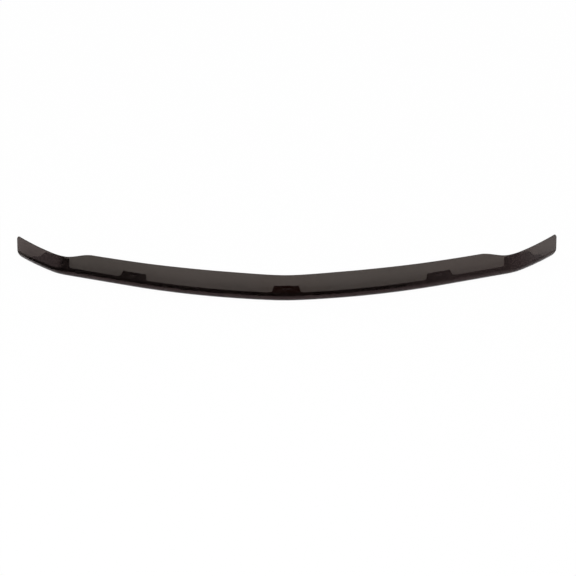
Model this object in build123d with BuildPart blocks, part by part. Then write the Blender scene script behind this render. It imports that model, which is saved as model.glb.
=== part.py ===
from build123d import *

import math
import os

# Hood bug deflector: one sheet of smoked acrylic, bent along its lower edge
# and trimmed. It stands on its flange: +Z is up, X runs across the hood and
# +Y points back towards the hood. All sizes are in millimetres.
#
# The form is made the way the real one is. One constant section of blade,
# bottom bend and flange follows a plan line of tangent arcs and straights.
# Then the outline is trimmed: the top edge with its two shoulders, the raked
# ends, the flange with its five tabs, and the slots and holes in the tabs.

# section of the bent sheet
SHEET = 3.2
BEND_R = 15.0
LEAN_DEG = 27.0
FLANGE_DEPTH = 29.0
EDGE_R = 1.2

# overall width, across the two ends of the bend
SHIELD_WIDTH = 1409.0

# plan line of the bend, from the centre out to one end: the share of its
# length that each run takes, and its heading in degrees where the run ends
PEAK_SHARE = 0.046
PEAK_HEADING = 4.73
MAIN_SHARE = 0.477
MAIN_HEADING = 18.7
STRAIGHT_SHARE = 0.228
CORNER_SHARE = 0.057
CORNER_HEADING = 36.7
WING_HEADING = 47.1

# height of the blade's top edge above the flange's underside
PEAK_HEIGHT = 64.2
CREST_HEIGHT = 66.0
CREST_AT = 150.0
CREST_RUN = 60.0
SHOULDER_HEIGHT = 63.3
SHOULDER_BACK = 70.0
STEP_RUN = 76.0
NOTCH_HEIGHT = 50.7
TIP_HEIGHT = 52.0

# raked end of each wing, and the flange that stops short of it
END_RAKE_DEG = 30.0
TIP_CORNER_R = 4.0
LOWER_CORNER_R = 22.0
FLANGE_STOP_BACK = 49.0
FLANGE_STOP_R = 5.0
LIP_KEEP = 6.0
END_FLANGE_DEPTH = 19.0

# centre tab and the two outer tabs, each with a slot. A tab off the centre
# has its place as a share of the shield's width, to the middle of its back edge
TAB_REACH = 64.2
CENTRE_TAB_WIDTH = 62.0
OUTER_TAB_PLACE = 0.2743
OUTER_TAB_REACH = 58.5
OUTER_TAB_WIDTH = 60.0
TAB_TAPER_DEG = 8.0
TAB_ROOT_R = 8.0
TAB_CORNER_R = 1.5
SLOT_LENGTH = 17.0
SLOT_WIDTH = 6.5
SLOT_INSET = 12.5

# wing tab under each end, with two holes. The middle of its back edge is set
# in along X from the end of the flange, which narrows where it passes the tab
WING_TAB_INSET = 59.1
WING_TAB_WIDTH = 68.0
WING_TAB_REACH_IN = 66.0
WING_TAB_REACH_OUT = 51.0
WING_TAB_INNER_LEAN_DEG = 8.0
WING_TAB_OUTER_LEAN_DEG = 22.0
HOLE_R = 3.5
BACK_HOLE_OFFSET = 7.0
BACK_HOLE_INSET = 20.0
FRONT_HOLE_OFFSET = 16.0
HOLE_SPACING = 26.0

# the sheet runs a little past its raked end and top before the trim, each tab starts
# inside the flange, and every trimming cut clears the sheet by a margin
END_SPARE = 6.0
TAB_OVERLAP = 7.0
CUT_MARGIN = 60.0

# points of the curve along the top edge of one half
TOP_POINTS = 48

LEAN = math.radians(LEAN_DEG)

# each run of the plan line, as its share, its first and its last heading
WING_SHARE = 1 - PEAK_SHARE - MAIN_SHARE - STRAIGHT_SHARE - CORNER_SHARE
SHARES = [
    (PEAK_SHARE, 0.0, PEAK_HEADING),
    (MAIN_SHARE, PEAK_HEADING, MAIN_HEADING),
    (STRAIGHT_SHARE, MAIN_HEADING, MAIN_HEADING),
    (CORNER_SHARE, MAIN_HEADING, CORNER_HEADING),
    (WING_SHARE, CORNER_HEADING, WING_HEADING),
]


def reach_along_x(share, first_deg, last_deg):
    """How far one run goes along X, for a plan line of length 1."""
    first = math.radians(first_deg)
    last = math.radians(last_deg)
    if first == last:
        return share * math.cos(first)
    return share * (math.sin(last) - math.sin(first)) / (last - first)


# the width sets the length of the plan line, and so every run and radius
LINE_LENGTH = SHIELD_WIDTH / 2 / sum(reach_along_x(*run) for run in SHARES)
PLAN_RUNS = []
for share, first_deg, last_deg in SHARES:
    turn = math.radians(last_deg - first_deg)
    length = share * LINE_LENGTH
    PLAN_RUNS.append((length / turn if turn else None, length))

CORNER_AT = sum(length for _, length in PLAN_RUNS[:3])
TIP_AT = LINE_LENGTH
FLANGE_STOP = TIP_AT - FLANGE_STOP_BACK
SHOULDER_AT = CORNER_AT - SHOULDER_BACK
NOTCH_AT = SHOULDER_AT + STEP_RUN


def plan_at(station):
    """x, y and heading of the plan line, this far along it from the centre."""
    x = 0.0
    y = 0.0
    heading = 0.0
    left = station
    for number, (radius, length) in enumerate(PLAN_RUNS):
        last = number == len(PLAN_RUNS) - 1
        step = left if last else min(left, length)
        if radius is None:
            x += step * math.cos(heading)
            y += step * math.sin(heading)
        else:
            turned = heading + step / radius
            x += radius * (math.sin(turned) - math.sin(heading))
            y += radius * (math.cos(heading) - math.cos(turned))
            heading = turned
        left -= step
        if left <= 0:
            break
    return x, y, heading


def behind(station, reach):
    """The plan point this far behind the plan line at a station."""
    x, y, heading = plan_at(station)
    return x - reach * math.sin(heading), y + reach * math.cos(heading)


def station_for(x_wanted, reach):
    """The station whose point this far behind the plan line has this x."""
    low = 0.0
    high = LINE_LENGTH + CUT_MARGIN
    for _ in range(60):
        middle = (low + high) / 2
        if behind(middle, reach)[0] < x_wanted:
            low = middle
        else:
            high = middle
    return (low + high) / 2


def point_for(x_wanted, reach):
    """The plan point with this x, this far behind the plan line."""
    return behind(station_for(x_wanted, reach), reach)


def ease(start, end, share):
    """A smooth step from start to end."""
    share = max(0.0, min(1.0, share))
    return start + (end - start) * share * share * (3 - 2 * share)


def top_height(station):
    """Height of the blade's top edge: peak, crest, shoulder, notch and tip."""
    if station <= CREST_AT:
        return ease(PEAK_HEIGHT, CREST_HEIGHT, station / CREST_AT)
    if station <= SHOULDER_AT:
        crest_end = CREST_AT + CREST_RUN
        share = (station - crest_end) / (SHOULDER_AT - crest_end)
        return ease(CREST_HEIGHT, SHOULDER_HEIGHT, share)
    if station <= NOTCH_AT:
        share = (station - SHOULDER_AT) / STEP_RUN
        return ease(SHOULDER_HEIGHT, NOTCH_HEIGHT, share)
    share = (station - NOTCH_AT) / (TIP_AT - NOTCH_AT)
    return ease(NOTCH_HEIGHT, TIP_HEIGHT, share)


# the section's directions, as (back, up): out of the blade and up its slope
OUT = (-math.cos(LEAN), math.sin(LEAN))
SLOPE = (math.sin(LEAN), math.cos(LEAN))


def section_point(radius, slope):
    """A section point this far up the slope from where the blade meets the bend."""
    back = radius * OUT[0] + slope * SLOPE[0]
    up = BEND_R + radius * OUT[1] + slope * SLOPE[1]
    return back, up


def slope_for(height):
    """Length up the blade's outer face that reaches this height."""
    return (height - section_point(BEND_R, 0)[1]) / SLOPE[1]


def bend_middle(radius):
    """The middle of the bend's arc, between the blade and the flange."""
    turn = math.pi - LEAN + (math.pi / 2 + LEAN) / 2
    return radius * math.cos(turn), BEND_R + radius * math.sin(turn)


INNER_R = BEND_R - SHEET
FULL_SLOPE = slope_for(CREST_HEIGHT) + END_SPARE
TIP_SLOPE = slope_for(TIP_HEIGHT)

# the top edge is trimmed in a plane square to the blade at the centre
TRIM_PLANE = Plane(origin=(0, 0, 0), x_dir=(1, 0, 0), z_dir=(0, OUT[0], OUT[1]))

# the raked end is trimmed in a plane square to the wing at its tip
tip_x, tip_y, tip_heading = plan_at(TIP_AT)
tip_back, tip_up = section_point(BEND_R, 0)
END_PLANE = Plane(
    origin=(
        tip_x - math.sin(tip_heading) * tip_back,
        tip_y + math.cos(tip_heading) * tip_back,
        tip_up,
    ),
    x_dir=(math.cos(tip_heading), math.sin(tip_heading), 0),
    z_dir=(
        -math.sin(tip_heading) * OUT[0],
        math.cos(tip_heading) * OUT[0],
        OUT[1],
    ),
)


def top_point(station):
    """The blade's top edge at a station, as a point of the trim plane."""
    x, y, heading = plan_at(station)
    back, up = section_point(BEND_R, slope_for(top_height(station)))
    edge_x = x - back * math.sin(heading)
    edge_y = y + back * math.cos(heading)
    return edge_x, edge_y * SLOPE[0] + up * SLOPE[1]


# plan corners of the tabs: each side runs from its back corner to a point
# under the flange
ROOT = FLANGE_DEPTH - TAB_OVERLAP
taper = math.tan(math.radians(TAB_TAPER_DEG))
half = CENTRE_TAB_WIDTH / 2
centre_side = [(half, TAB_REACH), (half + taper * (TAB_REACH - ROOT), ROOT)]

tab_x, tab_y, tab_heading = plan_at(station_for(OUTER_TAB_PLACE * SHIELD_WIDTH, 0))
rise = math.tan(tab_heading)
back_y = tab_y + OUTER_TAB_REACH / math.cos(tab_heading)
root_y = tab_y + ROOT / math.cos(tab_heading)
half = OUTER_TAB_WIDTH / 2
wide = half + taper * (back_y - root_y)
inner_side = [
    (tab_x - half, back_y - half * rise),
    (tab_x - wide, root_y - wide * rise),
]
outer_side = [
    (tab_x + half, back_y + half * rise),
    (tab_x + wide, root_y + wide * rise),
]

WING_ROOT = END_FLANGE_DEPTH - TAB_OVERLAP
wing_tab_x = behind(FLANGE_STOP, END_FLANGE_DEPTH)[0] - WING_TAB_INSET
wing_inner_x = wing_tab_x - WING_TAB_WIDTH / 2
wing_outer_x = wing_tab_x + WING_TAB_WIDTH / 2


def wing_side(x_back, reach, lean_deg):
    """One side of the wing tab, leaning along X on its way to the flange."""
    back = point_for(x_back, reach)
    lean = math.tan(math.radians(lean_deg))
    front = point_for(x_back, WING_ROOT)
    for _ in range(8):
        drop = back[1] - front[1]
        front = point_for(x_back + drop * lean, WING_ROOT)
    return [back, front]


wing_inner = wing_side(wing_inner_x, WING_TAB_REACH_IN, -WING_TAB_INNER_LEAN_DEG)
wing_outer = wing_side(wing_outer_x, WING_TAB_REACH_OUT, WING_TAB_OUTER_LEAN_DEG)
tab_sides = [centre_side, inner_side, outer_side, wing_inner, wing_outer]

# centres of the slots and of the wing tab's holes
slot_turn = math.degrees(tab_heading)
centre_slot = (0, TAB_REACH - SLOT_INSET)
outer_slot = (tab_x, back_y - SLOT_INSET / math.cos(tab_heading))
back_hole = point_for(
    wing_tab_x - BACK_HOLE_OFFSET, WING_TAB_REACH_IN - BACK_HOLE_INSET
)
front_hole = (wing_tab_x - FRONT_HOLE_OFFSET, back_hole[1] - HOLE_SPACING)


def upright_at(part, corner):
    """The plate's upright edge at this corner."""
    uprights = part.edges().filter_by(Axis.Z)
    return uprights.sort_by_distance((corner[0], corner[1], SHEET / 2))[0]


def upright_at_root(part, back, front):
    """The upright edge where one side of a tab meets the flange."""
    side = Edge.make_line((*back, SHEET / 2), (*front, SHEET / 2))
    on_side = [
        edge
        for edge in part.edges().filter_by(Axis.Z)
        if side.distance_to(edge @ 0.5) < 0.02
        and (Vector(*back, SHEET / 2) - edge @ 0.5).length > SHEET / 2
    ]
    return on_side[0]


with BuildPart() as half_sheet:
    # the section is carried along the plan line, run by run
    station = 0.0
    for number, (radius, length) in enumerate(PLAN_RUNS):
        if number == len(PLAN_RUNS) - 1:
            length += END_SPARE
        x, y, heading = plan_at(station)
        section_plane = Plane(
            origin=(x, y, 0),
            x_dir=(-math.sin(heading), math.cos(heading), 0),
            z_dir=(math.cos(heading), math.sin(heading), 0),
        )
        with BuildSketch(section_plane) as section:
            with BuildLine():
                Line(section_point(BEND_R, FULL_SLOPE), section_point(BEND_R, 0))
                ThreePointArc(section_point(BEND_R, 0), bend_middle(BEND_R), (0, 0))
                Polyline((0, 0), (FLANGE_DEPTH, 0), (FLANGE_DEPTH, SHEET), (0, SHEET))
                ThreePointArc((0, SHEET), bend_middle(INNER_R), section_point(INNER_R, 0))
                Line(section_point(INNER_R, 0), section_point(INNER_R, FULL_SLOPE))
                Line(
                    section_point(INNER_R, FULL_SLOPE),
                    section_point(BEND_R, FULL_SLOPE),
                )
            make_face()
        if radius is None:
            extrude(amount=length)
        else:
            centre = behind(station, radius)
            revolve(
                axis=Axis((*centre, 0), (0, 0, 1)),
                revolution_arc=math.degrees(length / radius),
            )
        station += length

    # from the middle of the wing tab outwards the flange is trimmed narrower
    narrow_from = station_for(wing_tab_x, FLANGE_DEPTH)
    narrow_to = LINE_LENGTH + 2 * END_SPARE
    with BuildSketch() as narrowing:
        with BuildLine():
            ThreePointArc(
                behind(narrow_from, END_FLANGE_DEPTH),
                behind((narrow_from + narrow_to) / 2, END_FLANGE_DEPTH),
                behind(narrow_to, END_FLANGE_DEPTH),
            )
            Polyline(
                behind(narrow_to, END_FLANGE_DEPTH),
                behind(narrow_to, FLANGE_DEPTH + END_SPARE),
                behind(narrow_from, FLANGE_DEPTH + END_SPARE),
                behind(narrow_from, END_FLANGE_DEPTH),
            )
        make_face()
    extrude(amount=SHEET, mode=Mode.SUBTRACT)

    # half of the centre tab, an outer tab and a wing tab, left on the flange
    # where the flat sheet was cut around them
    with BuildSketch() as tabs:
        with BuildLine():
            Polyline((0, ROOT), (0, TAB_REACH), *centre_side, close=True)
        make_face()
        with BuildLine():
            Polyline(*inner_side, *reversed(outer_side), close=True)
        make_face()
        with BuildLine():
            Polyline(*wing_inner, *reversed(wing_outer), close=True)
        make_face()
    extrude(amount=SHEET)

    # short of the blade's end, the flange and the underside of the bend stop
    stop_far = LINE_LENGTH + 5 * END_SPARE
    with BuildSketch(Plane.XY.offset(-SHEET)) as flange_stop:
        with BuildLine():
            Line(behind(FLANGE_STOP, CUT_MARGIN), behind(FLANGE_STOP, -LIP_KEEP))
            ThreePointArc(
                behind(FLANGE_STOP, -LIP_KEEP),
                behind((FLANGE_STOP + stop_far) / 2, -LIP_KEEP),
                behind(stop_far, -LIP_KEEP),
            )
            Polyline(
                behind(stop_far, -LIP_KEEP),
                behind(stop_far, CUT_MARGIN),
                behind(FLANGE_STOP, CUT_MARGIN),
            )
        make_face()
        stop_corner = (*behind(FLANGE_STOP, -LIP_KEEP), -SHEET)
        fillet(flange_stop.vertices().sort_by_distance(stop_corner)[0], FLANGE_STOP_R)
    extrude(amount=SHEET + BEND_R, mode=Mode.SUBTRACT)

    # everything above the top edge's curve is trimmed away
    spacing = (LINE_LENGTH + 2 * END_SPARE) / TOP_POINTS
    top_points = [top_point(spacing * i) for i in range(TOP_POINTS + 1)]
    past_centre = [(-x, v) for x, v in reversed(top_points[1:4])]
    with BuildSketch(TRIM_PLANE) as top_trim:
        with BuildLine():
            top_curve = Spline(*past_centre, *top_points)
            start = top_curve @ 0
            end = top_curve @ 1
            Polyline(
                (end.X, end.Y),
                (end.X, end.Y + CUT_MARGIN),
                (start.X, end.Y + CUT_MARGIN),
                (start.X, start.Y),
            )
        make_face()
    extrude(amount=SHIELD_WIDTH / 4, both=True, mode=Mode.SUBTRACT)

    # the end is trimmed on a rake, with a large round at its lower corner
    rake = math.tan(math.radians(END_RAKE_DEG))
    low_x = -(TIP_SLOPE + BEND_R) * rake
    with BuildSketch(END_PLANE) as end_trim:
        with BuildLine():
            Polyline(
                (BEND_R * rake, TIP_SLOPE + BEND_R),
                (low_x, -BEND_R),
                (low_x - CUT_MARGIN, -BEND_R),
                (low_x - CUT_MARGIN, -2 * BEND_R),
                (CUT_MARGIN, -2 * BEND_R),
                (CUT_MARGIN, TIP_SLOPE + BEND_R),
                close=True,
            )
        make_face()
        low_corner = END_PLANE.from_local_coords((low_x, -BEND_R, 0))
        fillet(end_trim.vertices().sort_by_distance(low_corner)[0], LOWER_CORNER_R)
    extrude(amount=CUT_MARGIN, both=True, mode=Mode.SUBTRACT)

    # slots and holes for the fasteners
    with BuildSketch() as fastener_holes:
        with Locations(centre_slot):
            SlotOverall(SLOT_LENGTH, SLOT_WIDTH)
        with Locations(outer_slot):
            SlotOverall(SLOT_LENGTH, SLOT_WIDTH, rotation=slot_turn)
        with Locations(back_hole, front_hole):
            Circle(HOLE_R)
    extrude(amount=SHEET, mode=Mode.SUBTRACT)

    # the tabs flare into the flange and their back corners are eased
    fillet(
        [upright_at_root(half_sheet.part, *side) for side in tab_sides], TAB_ROOT_R
    )
    plate_corners = [side[0] for side in tab_sides]
    plate_corners.append(behind(FLANGE_STOP, END_FLANGE_DEPTH))
    fillet([upright_at(half_sheet.part, p) for p in plate_corners], TAB_CORNER_R)
    tip = END_PLANE.from_local_coords((0, TIP_SLOPE, 0))
    tip_edges = sorted(half_sheet.part.edges(), key=lambda edge: (edge @ 0.5 - tip).length)
    fillet(tip_edges[0], TIP_CORNER_R)

    # the blade's trimmed rim is flame polished, which rounds it
    end_curve = END_PLANE.to_local_coords(end_trim.sketch).face().outer_wire()
    rim = []
    for edge in half_sheet.part.edges():
        ends = [edge @ 0, edge @ 0.5, edge @ 1]
        for plane, curve in ((TRIM_PLANE, top_curve), (END_PLANE, end_curve)):
            flat = [plane.to_local_coords(p) for p in ends]
            flat = [Vector(p.X, p.Y, 0) for p in flat]
            along = (flat[0] - flat[2]).length > SHEET / 8
            if along and max(curve.distance_to(p) for p in flat) < 0.02:
                rim.append(edge)
                break
    fillet(rim, EDGE_R)

# the halves meet at the centre, and the origin goes to the middle of the base
half_box = half_sheet.part.bounding_box()
BACK_SHIFT = -(half_box.min.Y + half_box.max.Y) / 2
with BuildPart() as deflector_shield:
    add(half_sheet.part.moved(Location((0, BACK_SHIFT, 0))))
    mirror(about=Plane.YZ)

deflector_shield.part.label = "deflector_shield"
export_step(deflector_shield.part, "parts/deflector_shield.step")

box = deflector_shield.part.bounding_box()
print("size", [round(v, 2) for v in (box.size.X, box.size.Y, box.size.Z)])
print("back shift", round(BACK_SHIFT, 3))
for name, place in (
    ("centre slot", centre_slot),
    ("outer slot", outer_slot),
    ("back hole", back_hole),
    ("front hole", front_hole),
):
    print(name, round(place[0], 3), round(place[1] + BACK_SHIFT, 3))
print("slot turn", round(slot_turn, 3))
print("volume", round(deflector_shield.part.volume, 1))
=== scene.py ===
# %% [markdown]
# # A smoked acrylic hood bug deflector
#
# The real shield is one sheet of smoke-tinted acrylic. The maker cuts its
# outline flat, heats the lower part along a line, bends the blade up over a
# former and polishes the cut rim with a flame. This script does the same: it
# lays out the cut sheet flat, folds it with Geometry Nodes, and lights it on a
# white table.

import math

import bmesh
import bpy
import numpy as np
from mathutils import Matrix, Vector
from mathutils.geometry import delaunay_2d_cdt


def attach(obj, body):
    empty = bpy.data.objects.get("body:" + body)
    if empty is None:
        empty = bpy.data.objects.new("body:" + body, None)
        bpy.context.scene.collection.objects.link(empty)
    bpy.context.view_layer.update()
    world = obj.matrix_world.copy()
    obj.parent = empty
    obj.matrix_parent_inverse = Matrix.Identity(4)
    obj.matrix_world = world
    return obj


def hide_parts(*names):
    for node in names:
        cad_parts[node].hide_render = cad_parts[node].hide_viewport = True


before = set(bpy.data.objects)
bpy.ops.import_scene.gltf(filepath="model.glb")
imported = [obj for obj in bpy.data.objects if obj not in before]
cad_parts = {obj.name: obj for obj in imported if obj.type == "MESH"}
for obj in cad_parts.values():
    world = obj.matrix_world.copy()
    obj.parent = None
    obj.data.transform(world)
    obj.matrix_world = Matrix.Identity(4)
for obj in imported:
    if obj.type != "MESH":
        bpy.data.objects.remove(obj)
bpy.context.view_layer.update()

# %% [markdown]
# The sizes are the part's own, in millimetres. The bend follows one line in
# plan, made of runs that meet without a corner: a tight arc at the peak, a
# long shallow arc, a straight, a tight corner arc and the wing's arc. The
# overall width sets the line's length, so a wider hood stretches every run.

# %% The plan line of the bend
MM = 0.001
SHIELD_WIDTH = 1409.0
CENTRE_Y = -116.955

# each run's share of the line's length, and its heading in degrees at both ends
PEAK_RUN = (0.046, 0.0, 4.73)
MAIN_RUN = (0.477, 4.73, 18.7)
STRAIGHT_RUN = (0.228, 18.7, 18.7)
CORNER_RUN = (0.057, 18.7, 36.7)
WING_RUN = (0.192, 36.7, 47.1)
RUNS = (PEAK_RUN, MAIN_RUN, STRAIGHT_RUN, CORNER_RUN, WING_RUN)


def chord_share(share, first_deg, last_deg):
    """How far a run goes along X, for a line of length 1."""
    first, last = math.radians(first_deg), math.radians(last_deg)
    if first == last:
        return share * math.cos(first)
    return share * (math.sin(last) - math.sin(first)) / (last - first)


LINE = SHIELD_WIDTH / 2 / sum(chord_share(*run) for run in RUNS)
CORNER_AT = LINE * sum(run[0] for run in (PEAK_RUN, MAIN_RUN, STRAIGHT_RUN))
WING_AT = CORNER_AT + LINE * CORNER_RUN[0]


def plan_at(station):
    """x, y and heading of the bend line, this far along it from the centre."""
    x = y = heading = 0.0
    left = abs(station)
    for number, (share, first_deg, last_deg) in enumerate(RUNS):
        length = share * LINE
        turn = math.radians(last_deg - first_deg)
        step = left if number == len(RUNS) - 1 else min(left, length)
        if turn == 0:
            x += step * math.cos(heading)
            y += step * math.sin(heading)
        else:
            radius = length / turn
            turned = heading + step / radius
            x += radius * (math.sin(turned) - math.sin(heading))
            y += radius * (math.cos(heading) - math.cos(turned))
            heading = turned
        left -= step
        if left <= 0:
            break
    sign = -1 if station < 0 else 1
    return sign * x, y, sign * heading


def behind(station, reach):
    """The plan point this far behind the bend line."""
    x, y, heading = plan_at(station)
    return x - reach * math.sin(heading), y + reach * math.cos(heading)


print("half of the bend line", round(LINE, 2), "mm, its end", plan_at(LINE))

# %% [markdown]
# A cut sheet is easiest to lay out flat. One flat direction is the station
# along the bend. The other runs across the sheet: below zero lies the flange,
# then the bend's arc, then the blade. A point of the flange that the tabs'
# drawing gives in plan is turned into these two numbers by walking along the
# bend line until the point lies square behind it. Where only an x is given, the
# station is found by halving a span until it is tiny.

# %% From plan to flat layout
SHEET = 3.2
BEND_R = 15.0
LEAN = math.radians(27.0)
BEND_ARC = BEND_R * (math.pi / 2 + LEAN)
SEARCH_SPARE = 60.0
HALVINGS = 50
WALK_STEPS = 60
WALK_SHARE = 0.6


def narrow(low, high, falls_short):
    """The span, halved until it is tiny, round the value where falls_short turns false."""
    for _ in range(HALVINGS):
        middle = (low + high) / 2
        if falls_short(middle):
            low = middle
        else:
            high = middle
    return low, high


def station_for(x_wanted, reach):
    """The station whose point this far behind the line has this x."""
    low, high = narrow(
        0.0, LINE + SEARCH_SPARE, lambda station: behind(station, reach)[0] < x_wanted
    )
    return (low + high) / 2


def flat_of_plan(point):
    """The flat layout's place of a point on the flange, given in plan."""
    px, py = abs(point[0]), point[1]
    station = min(px, LINE)
    for _ in range(WALK_STEPS):
        x, y, heading = plan_at(station)
        along = (px - x) * math.cos(heading) + (py - y) * math.sin(heading)
        station = max(0.0, station + WALK_SHARE * along)
    x, y, heading = plan_at(station)
    reach = (py - y) * math.cos(heading) - (px - x) * math.sin(heading)
    return (math.copysign(station, point[0]), -reach)


print("bend", round(BEND_ARC, 2), "mm round its outside")

# %% [markdown]
# The blade's top edge is a rule too: a low peak at the centre, a crest, a
# long fall to the shoulder, a smooth step down to the notch and a slight rise
# to the tip. A smooth step between two heights joins them.

# %% The top edge
PEAK_HEIGHT = 64.2
CREST_HEIGHT = 66.0
CREST_AT = 150.0
CREST_RUN = 60.0
SHOULDER_HEIGHT = 63.3
SHOULDER_BACK = 70.0
SHOULDER_AT = CORNER_AT - SHOULDER_BACK
NOTCH_HEIGHT = 50.7
STEP_RUN = 76.0
TIP_HEIGHT = 52.0
TOP = (
    (0.0, PEAK_HEIGHT),
    (CREST_AT, CREST_HEIGHT),
    (CREST_AT + CREST_RUN, CREST_HEIGHT),
    (SHOULDER_AT, SHOULDER_HEIGHT),
    (SHOULDER_AT + STEP_RUN, NOTCH_HEIGHT),
    (LINE, TIP_HEIGHT),
)


def across_for_height(height):
    """How far across the sheet the blade's outer face reaches this height."""
    start = BEND_R + BEND_R * math.sin(LEAN)
    return BEND_ARC + (height - start) / math.cos(LEAN)


def top_across(station):
    """The top edge's place across the sheet at a station."""
    station = min(abs(station), LINE)
    spans = zip(TOP, TOP[1:])
    (at, height), (next_at, next_height) = next(span for span in spans if station <= span[1][0])
    share = (station - at) / (next_at - at)
    share = share * share * (3 - 2 * share)
    return across_for_height(height + (next_height - height) * share)


print("blade", round(top_across(CREST_AT) - BEND_ARC, 1), "mm wide at the crest")

# %% [markdown]
# The outline is drawn as corners joined by sides. Both kinds of side, straight
# ones and ones that follow the bend, get points at even steps, because a long
# edge between two points couldn't follow the fold.

# %% Sampled sides
SPACING = 3.0


def straight_side(a, b, spacing=SPACING):
    """Points from a towards b, a included and b not, no further apart than this."""
    a, b = np.array(a, float), np.array(b, float)
    count = max(1, math.ceil(float(np.linalg.norm(b - a)) / spacing))
    return [a + (b - a) * i / count for i in range(count)]


def side_behind(first, last, reach):
    """Points that follow the bend line at this distance behind it."""
    count = max(1, math.ceil(abs(last - first) / SPACING))
    return [behind(first + (last - first) * i / count, reach) for i in range(count)]


print("points along half the line", len(side_behind(0.0, LINE, 0.0)))

# %% [markdown]
# Each corner has its own rounding radius. It is replaced by an arc that touches
# both of its sides, as a router bit or a file leaves it, and the sides' points
# that the arc takes the place of are left out.

# %% Rounded corners
ARC_STEPS = 6
TINY = 1e-6


def corner_arc(here, before, after, radius):
    """How far from a corner its rounding starts, and the points of the arc."""
    before = before / np.linalg.norm(before)
    after = after / np.linalg.norm(after)
    half_angle = math.acos(max(-1.0, min(1.0, float(before @ after)))) / 2
    reach = radius / math.tan(half_angle)
    middle = before + after
    centre = here + middle / np.linalg.norm(middle) * radius / math.sin(half_angle)
    start = here + before * reach - centre
    end = here + after * reach - centre
    turn = math.pi - 2 * half_angle
    way = np.sign(start[0] * end[1] - start[1] * end[0])
    arc = []
    for step in range(ARC_STEPS + 1):
        angle = way * turn * step / ARC_STEPS
        c, s = math.cos(angle), math.sin(angle)
        arc.append(centre + np.array([c * start[0] - s * start[1], s * start[0] + c * start[1]]))
    return reach, arc


def rounded(points, radii):
    """The polyline with the corners named in radii replaced by arcs."""
    points = [np.array(p, float) for p in points]
    lengths = [0.0]
    for a, b in zip(points, points[1:]):
        lengths.append(lengths[-1] + float(np.linalg.norm(b - a)))
    arcs = {}
    for index, radius in radii.items():
        here = points[index]
        before, after = points[index - 1] - here, points[index + 1] - here
        reach, arc = corner_arc(here, before, after, radius)
        arcs[index] = (lengths[index] - reach - TINY, lengths[index] + reach + TINY, arc)
    result = []
    for index, point in enumerate(points):
        if index in arcs:
            result.extend(arcs[index][2])
        elif not any(low < lengths[index] < high for low, high, _ in arcs.values()):
            result.append(point)
    return result


print("each rounded corner gets", ARC_STEPS + 1, "points")

# %% [markdown]
# Five tabs stay on the flange: one at the centre, two farther out and one
# under each wing. Each is a straight-sided plate, drawn in plan. A side is
# given by its back corner and a point inside the flange.

# %% The centre tab and the outer tab in plan
FLANGE_DEPTH = 29.0
END_FLANGE_DEPTH = 19.0
TAB_OVERLAP = 7.0
TAB_REACH = 64.2
TAB_TAPER = math.tan(math.radians(8.0))
CENTRE_TAB_WIDTH = 62.0
OUTER_TAB_PLACE = 0.2743
OUTER_TAB_REACH = 58.5
OUTER_TAB_WIDTH = 60.0

ROOT = FLANGE_DEPTH - TAB_OVERLAP
centre_half = CENTRE_TAB_WIDTH / 2
centre_side = [
    (centre_half, TAB_REACH),
    (centre_half + TAB_TAPER * (TAB_REACH - ROOT), ROOT),
]

tab_x, tab_y, tab_heading = plan_at(station_for(OUTER_TAB_PLACE * SHIELD_WIDTH, 0))
rise = math.tan(tab_heading)
back_y = tab_y + OUTER_TAB_REACH / math.cos(tab_heading)
root_y = tab_y + ROOT / math.cos(tab_heading)
back_half = OUTER_TAB_WIDTH / 2
root_half = back_half + TAB_TAPER * (back_y - root_y)
inner_side, outer_side = (
    [
        (tab_x + way * back_half, back_y + way * back_half * rise),
        (tab_x + way * root_half, root_y + way * root_half * rise),
    ]
    for way in (-1, 1)
)
print("outer tab at", round(tab_x, 1), round(tab_y, 1))

# %% [markdown]
# The wing tab lies where the bend turns fast, so its two sides lean
# differently. Each is drawn from its back corner to the flange in a few
# passes, because the lean is measured over a distance that depends on where
# the side ends.

# %% The wing tab in plan
FLANGE_STOP_BACK = 49.0
WING_TAB_INSET = 59.1
WING_TAB_WIDTH = 68.0
WING_TAB_REACH_IN = 66.0
WING_TAB_REACH_OUT = 51.0
WING_TAB_LEAN_IN = math.tan(math.radians(-8.0))
WING_TAB_LEAN_OUT = math.tan(math.radians(22.0))
LEAN_PASSES = 8

FLANGE_STOP = LINE - FLANGE_STOP_BACK
WING_TAB_X = behind(FLANGE_STOP, END_FLANGE_DEPTH)[0] - WING_TAB_INSET
WING_ROOT = END_FLANGE_DEPTH - TAB_OVERLAP


def wing_side(x_back, reach, lean):
    """One side of the wing tab, from its back corner to a point in the flange."""
    back = behind(station_for(x_back, reach), reach)
    front = behind(station_for(x_back, WING_ROOT), WING_ROOT)
    for _ in range(LEAN_PASSES):
        x_front = x_back + (back[1] - front[1]) * lean
        front = behind(station_for(x_front, WING_ROOT), WING_ROOT)
    return [back, front]


wing_inner = wing_side(WING_TAB_X - WING_TAB_WIDTH / 2, WING_TAB_REACH_IN, WING_TAB_LEAN_IN)
wing_outer = wing_side(WING_TAB_X + WING_TAB_WIDTH / 2, WING_TAB_REACH_OUT, WING_TAB_LEAN_OUT)
print("wing tab's back corners", np.round([wing_inner[0], wing_outer[0]], 1).tolist())

# %% [markdown]
# The flange's half of the outline, from the middle of the centre tab outwards.
# Where a tab's side meets the flange's back edge, the inner corner is rounded
# so that the acrylic doesn't crack there.

# %% The flange's outline
TAB_ROOT_R = 8.0
TAB_CORNER_R = 1.5
JOIN_DEPTH = 10.0


def meet(side_points, reach):
    """Where a tab's side crosses the line this far behind the bend, and its station."""
    a, b = np.array(side_points[0]), np.array(side_points[1])
    low, _ = narrow(0.0, 1.0, lambda share: -flat_of_plan(a + (b - a) * share)[1] > reach)
    point = a + (b - a) * low
    return tuple(point), flat_of_plan(point)[0]


plan_corners = [(0.0, TAB_REACH)]
plan_radii = {}


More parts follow.
